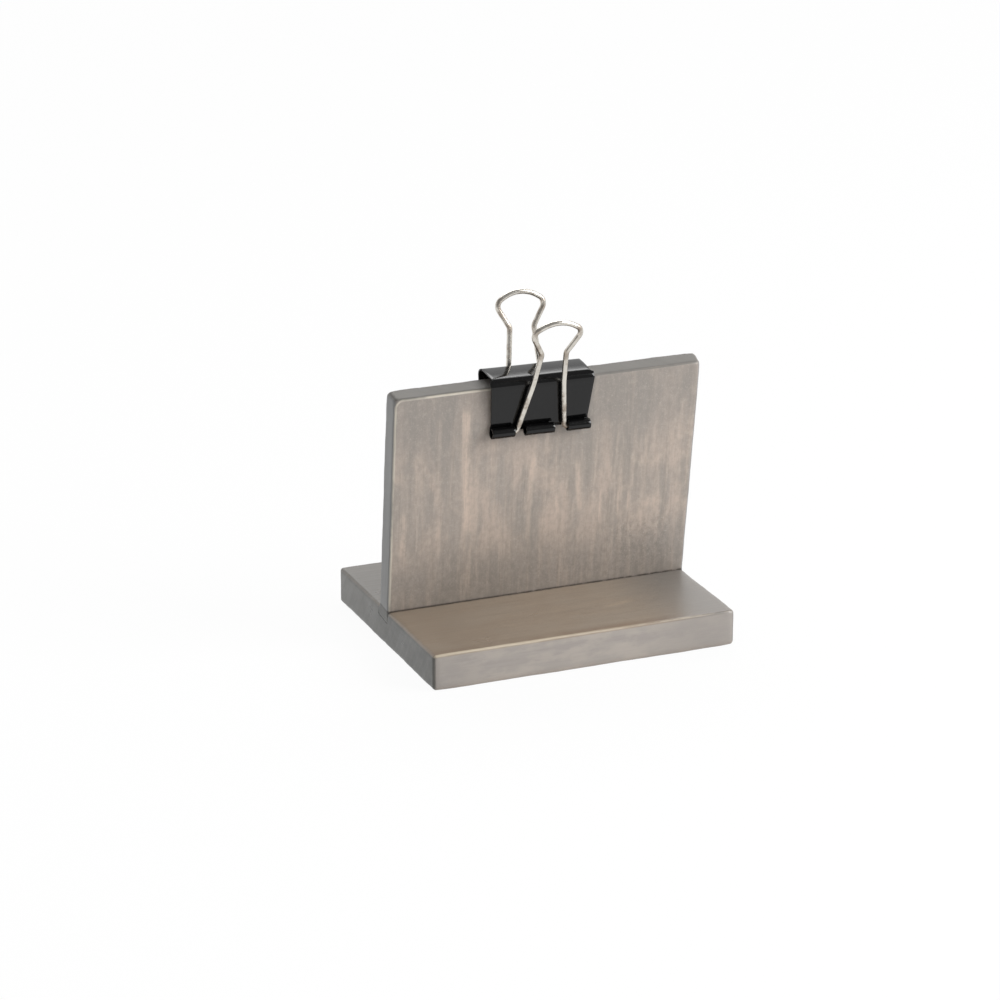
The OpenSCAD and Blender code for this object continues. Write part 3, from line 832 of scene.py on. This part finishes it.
def enamel_finish():
    """Glossy black enamel with a faint orange-peel skin and duller specks of dust."""
    enamel = Finish(bpy.data.materials.new("black_enamel"))
    spot = enamel.place()
    tone = enamel.noise(spot, (0.2, 0.2, 0.2), 3.0, 0.6)
    peel = enamel.noise(spot, (0.7, 0.7, 0.7), 2.0, 0.5)
    dust = enamel.noise(spot, (6.0, 6.0, 6.0), 2.0, 0.6)
    colour = enamel.mix(tone, enamel_black, enamel_soft)
    colour = enamel.mix(enamel.step(dust, 0.7, 0.8) * 0.3, colour, enamel_dust)
    return enamel.surface(
        Base_Color=colour, Roughness=tone * 0.06 + enamel.step(dust, 0.6, 0.75) * 0.12 + 0.06,
        Normal=enamel.bump(peel, 0.012), Specular_IOR_Level=0.37,
    )


dress(clip, enamel_finish())

# Wire handles: two lengths of hard steel wire, bent over pegs to the same shape, nickel plated
# and sprung into the rolled lips by their pins, which turn there.
wire_r = 0.8
front_angle = math.radians(10)
rear_angle = math.radians(15.5)
front_sway = math.radians(1.1)
rear_sway = math.radians(-1.1)
wire_corners = np.array([
    (13.5, 0.0), (7.5, 0.0), (4.8, 16.0), (3.85, 26.3), (8.1, 33.6), (0.0, 38.4),
])
wire_bends = np.array([0.0, 1.2, 14.0, 2.0, 2.4, 10.0])
wire_sides = 28
wire_rows = 150
row_gap = 0.05
arc_step = 5
sharp_radius = 3.0
pin_rounding = 0.35
pin_rows = 4
nickel_bright = srgb(230, 227, 219)
nickel_grey = srgb(214, 208, 198)
bend_reflection_grey = srgb(172, 164, 154)
thin_plate_and_bend_reflection = srgb(142, 126, 110)
nickel_speck = srgb(126, 112, 98)


def wire_path(sway):
    """The wire's middle line in its own plane, from pin to pin, and how sharply it bends at each
    point: at every corner an arc of that corner's bend radius is fitted between the two lines."""
    corners = np.concatenate([wire_corners * (-1, 1), wire_corners[-2::-1]])
    bends = np.concatenate([wire_bends, wire_bends[-2::-1]])
    corners[:, 0] += math.tan(sway) * corners[:, 1]
    path, sharp = [corners[:1]], [np.zeros(1)]
    for before, at, after, radius in zip(corners, corners[1:], corners[2:], bends[1:]):
        come = (at - before) / np.linalg.norm(at - before)
        go = (after - at) / np.linalg.norm(after - at)
        turn = math.atan2(come[0] * go[1] - come[1] * go[0], come @ go)
        start = at - come * radius * math.tan(abs(turn) / 2)
        rows = max(5, round(abs(math.degrees(turn)) / arc_step))
        angles = np.linspace(0, turn, rows)[:, None]
        inward = math.copysign(1, turn) * np.array([-come[1], come[0]])
        arc = start + radius * (np.sin(np.abs(angles)) * come + (1 - np.cos(angles)) * inward)
        path.append(arc)
        sharp.append(np.full(len(arc), min(1.0, sharp_radius / radius)))
    path = np.concatenate(path + [corners[-1:]])
    sharp = np.concatenate(sharp + [np.zeros(1)])
    lengths = np.linalg.norm(np.diff(path, axis=0), axis=1)
    way = np.concatenate([[0], np.cumsum(lengths)])
    every = np.unique(np.append(way, np.linspace(0, way[-1], wire_rows)).round(3))
    every = every[np.append(True, np.diff(every) > row_gap)]
    across, height, bent = (np.interp(every, way, run) for run in (path[:, 0], path[:, 1], sharp))
    return np.stack([across, height], -1), bent


def bent_wire(sway):
    """A round wire swept along its path: rings square to the path, their radius drawn in over a
    quarter turn at each pin's end, where these rings take the place of the path's last two."""
    path, sharp = wire_path(sway)
    along = np.gradient(path, axis=0)
    along /= np.linalg.norm(along, axis=1, keepdims=True)
    quarter = np.linspace(0, math.pi / 2, pin_rows + 1)[1:]
    set_in = (pin_rounding - pin_rounding * np.cos(quarter))[:, None]
    drawn_in = wire_r - pin_rounding * (1 - np.sin(quarter))
    first = path[0] + along[0] * set_in
    last = path[-1] - along[-1] * set_in[::-1]
    kept = slice(2, -2)
    path = np.concatenate([first, path[kept], last])
    first_along, last_along = np.repeat(along[:1], pin_rows, 0), np.repeat(along[-1:], pin_rows, 0)
    along = np.concatenate([first_along, along[kept], last_along])
    sharp = np.concatenate([np.zeros(pin_rows), sharp[kept], np.zeros(pin_rows)])
    full = np.full(len(path) - 2 * pin_rows, wire_r)
    radius = np.concatenate([drawn_in, full, drawn_in[::-1]])[:, None, None]
    turn = (np.arange(wire_sides) * 2 * math.pi / wire_sides)[:, None]
    normal = np.stack([-along[:, 1], 0 * along[:, 0], along[:, 0]], -1)[:, None]
    middle = np.stack([path[:, 0], 0 * path[:, 0], path[:, 1]], -1)
    rings = middle[:, None] + radius * (np.cos(turn) * normal + np.sin(turn) * (0, -1, 0))
    points, faces = closed_tube(rings, middle[0], middle[-1])
    return points, faces, np.append(np.repeat(sharp, wire_sides), [0, 0])


def in_handle(points, side, angle):
    """Leans a handle's points away from the panel by an angle about X, and moves them to their
    lip, on the front side (-1) or the rear side (1)."""
    x, y, z = points.T
    c, s = math.cos(angle), -side * math.sin(angle)
    return in_clip(np.stack([x, c * y - s * z + side * curl_y, s * y + c * z], -1))


def nickel_finish():
    """Bright nickel over drawn steel: fine drawing lines, brownish in patches where the plating is
    thin, greyer and browner at the bends as a painted reflection, and small dark specks."""
    nickel = Finish(bpy.data.materials.new("nickel_wire"))
    spot = nickel.place()
    bent = nickel.add("ShaderNodeAttribute", {"attribute_name": "bent"}, out="Fac")
    cloud = nickel.noise(spot, (0.35, 0.35, 0.35), 4.0, 0.6)
    speck = nickel.noise(spot, (2.6, 2.6, 2.6), 3.0, 0.6)
    drawn = nickel.noise(spot, (6.0, 6.0, 0.7), 3.0, 0.6)
    colour = nickel.mix(cloud, nickel_bright, nickel_grey)
    # Painted reflection: the bends are painted greyer, for the dark wood and clip that they mirror.
    colour = nickel.mix(bent * 0.3, colour, bend_reflection_grey)
    # Brown where the plating is thin, in patches, and a little more at the bends as painted
    # reflection.
    thin = nickel.step(cloud + bent * 0.2, 0.58, 0.82)
    colour = nickel.mix(thin * 0.6, colour, thin_plate_and_bend_reflection)
    colour = nickel.mix(nickel.step(speck, 0.62, 0.72) * 0.5, colour, nickel_speck)
    return nickel.surface(
        Base_Color=colour, Metallic=1.0, Roughness=thin * 0.12 + speck * 0.14 + 0.14,
        Normal=nickel.bump(drawn, 0.015),
    )


nickel_plate = nickel_finish()
handles = (("front", -1, front_angle, front_sway), ("rear", 1, rear_angle, rear_sway))
for name, side, angle, sway in handles:
    wire_points, wire_faces, wire_sharp = bent_wire(sway)
    wire_points = in_handle(wire_points, side, angle)
    wire = new_piece(name + "_wire", wire_points, wire_faces, name + "_handle")
    keep_numbers(wire, "bent", wire_sharp)
    dress(wire, nickel_plate)
    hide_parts(name + "_handle")

# Floor: a wide sheet of white paper. Seen directly or mirrored in the metal it is close to plain
# white, and it keeps a share of the light that falls on it, so that the object's shadow shows.
floor_half = 1500.0
floor_glow = 0.95
paper_dull = (0.85, 0.85, 0.85, 1.0)
paper_pale = (0.87, 0.87, 0.87, 1.0)
plain_white = (1.0, 1.0, 1.0, 1.0)
floor_corners = np.array([(-1, -1, 0), (1, -1, 0), (1, 1, 0), (-1, 1, 0)]) * floor_half * MM
floor_mesh = bpy.data.meshes.new("floor")
floor_mesh.from_pydata(floor_corners.tolist(), [], [(0, 1, 2, 3)])
floor = bpy.data.objects.new("floor", floor_mesh)
bpy.context.scene.collection.objects.link(floor)


def seen_directly(finish):
    """One for rays from the camera and for mirrored and refracted rays, and zero for the rest."""
    rays = finish.add("ShaderNodeLightPath").socket.node.outputs
    camera_ray, glossy_ray, clear_ray = (
        Wash(finish, rays[name]) for name in ("Is Camera Ray", "Is Glossy Ray", "Is Transmission Ray")
    )
    return (camera_ray + glossy_ray + clear_ray).least(1.0)


def paper_finish():
    """White paper: a matt white, mixed with a white glow for the rays that see it."""
    paper = Finish(bpy.data.materials.new("white_paper"))
    fibre = paper.noise(paper.place(), (0.2, 0.2, 0.2), 3.0)
    matt = paper.add("ShaderNodeBsdfPrincipled", sockets={
        "Base Color": paper.mix(fibre, paper_dull, paper_pale), "Roughness": 1.0,
        "Specular IOR Level": 0.0})
    glow = paper.add("ShaderNodeEmission", sockets={"Color": plain_white, "Strength": 1.0})
    both = paper.add("ShaderNodeMixShader", sockets={
        0: seen_directly(paper) * floor_glow, 1: matt, 2: glow})
    paper.add("ShaderNodeOutputMaterial", sockets={"Surface": both})
    return paper.owner


dress(floor, paper_finish())

# Light: a room that is white behind the object and dim above and behind the camera, with one
# bright window high behind, which the clip's spine mirrors, and a broad soft box on the right.
rear_light = 1.0
front_light = 0.35
ceiling_light = 0.3
wall_turn = (-0.3, 0.5)
window_light = 5.6
window_across = 0.3
window_sides = (0.6, 0.3)
window_behind = (0.3, 0.55)
window_foot = (0.51, 0.66)
window_head = (0.9, 0.74)
key_place = Vector((950, -640, 620)) * MM
key_aim = Vector((0, 0, 40)) * MM
key_size = 800.0
key_power = 17.5


def studio_world():
    """White behind the object from the horizon up to a third of the way, then the soft-edged
    window, dim elsewhere, and plain white where the camera sees it."""
    world = bpy.data.worlds.new("studio")
    sky = Finish(world)
    across, rearward, height = sky.split(sky.add("ShaderNodeTexCoord", out="Object"))
    wall = sky.step(rearward, *wall_turn) * (rear_light - front_light) + front_light
    window = sky.step(abs(across - window_across), *window_sides)
    window = window * sky.step(rearward, *window_behind) * sky.step(height, *window_head)
    above = window * (window_light - ceiling_light) + ceiling_light
    light = wall + sky.step(height, *window_foot) * (above - wall)
    direct = sky.add("ShaderNodeLightPath", out="Is Camera Ray")
    strength = light + direct * (1.0 - light)
    room = sky.add("ShaderNodeBackground", sockets={"Color": plain_white, "Strength": strength})
    sky.add("ShaderNodeOutputWorld", sockets={"Surface": room})
    return world


bpy.context.scene.world = studio_world()

key_lamp = bpy.data.lights.new("key_box", "AREA")
key_lamp.shape, key_lamp.size, key_lamp.energy = "SQUARE", key_size * MM, key_power
key_box = bpy.data.objects.new("key_box", key_lamp)
bpy.context.scene.collection.objects.link(key_box)
key_box.location = key_place
key_box.rotation_euler = (key_aim - key_place).to_track_quat("-Z", "Y").to_euler()

# Camera: the photograph's own view, found by fitting a pinhole camera to the boards' corners.
view_turn = math.radians(-22.41)
view_rise = math.radians(19.87)
view_reach = 1186.5
view_aim = (-11.22, 0.0, 40.85)
camera_data = bpy.data.cameras.new("camera")
camera_data.lens = 144.0
camera_data.sensor_width = 36.0
camera = bpy.data.objects.new("camera", camera_data)
bpy.context.scene.collection.objects.link(camera)
toward = Vector((
    math.sin(view_turn) * math.cos(view_rise), -math.cos(view_turn) * math.cos(view_rise),
    math.sin(view_rise),
))
camera.location = (Vector(view_aim) + view_reach * toward) * MM
camera.rotation_euler = toward.to_track_quat("Z", "Y").to_euler()
bpy.context.scene.camera = camera
bpy.context.scene.view_settings.view_transform = "Standard"
